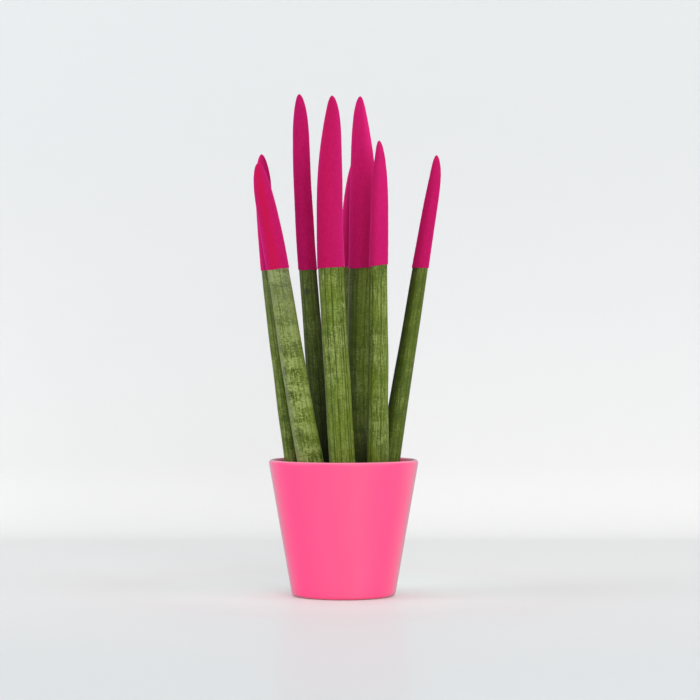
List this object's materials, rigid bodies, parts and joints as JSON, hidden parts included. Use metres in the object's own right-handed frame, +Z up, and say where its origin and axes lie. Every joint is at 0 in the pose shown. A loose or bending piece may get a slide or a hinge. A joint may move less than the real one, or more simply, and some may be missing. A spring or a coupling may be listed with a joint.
{
  "type": "cylindrical snake plant in a pot",
  "caption": "Cylindrical snake plant: upright round spear leaves with velvet-dipped upper halves, fanning out of a tapered glazed pot.",
  "frame": {"origin": "centre of the pot's flat underside, on the pot's axis", "axes": "+Z up along the pot's axis; +X to the right and -Y towards the viewer of the plant's front"},
  "size_m": [0.1373, 0.11, 0.3702],
  "materials": {
    "pot": "satin pink glaze",
    "soil": "dark crumbly potting mix",
    "leaf": "waxy olive green leaf skin with dark grooves and pale grey-green cross-bands",
    "coat": "magenta pink flocked velvet"
  },
  "bodies": {
    "root": {"pot": "pot", "soil": "soil", "leaf_front_left": "leaf", "leaf_far_left": "leaf", "leaf_tall_left": "leaf", "leaf_front_middle": "leaf", "leaf_tall_right": "leaf", "leaf_front_right": "leaf", "leaf_back": "leaf", "leaf_far_right": "leaf", "coat_front_left": "coat", "coat_far_left": "coat", "coat_tall_left": "coat", "coat_front_middle": "coat", "coat_tall_right": "coat", "coat_front_right": "coat", "coat_back": "coat", "coat_far_right": "coat"}
  },
  "joints": []
}
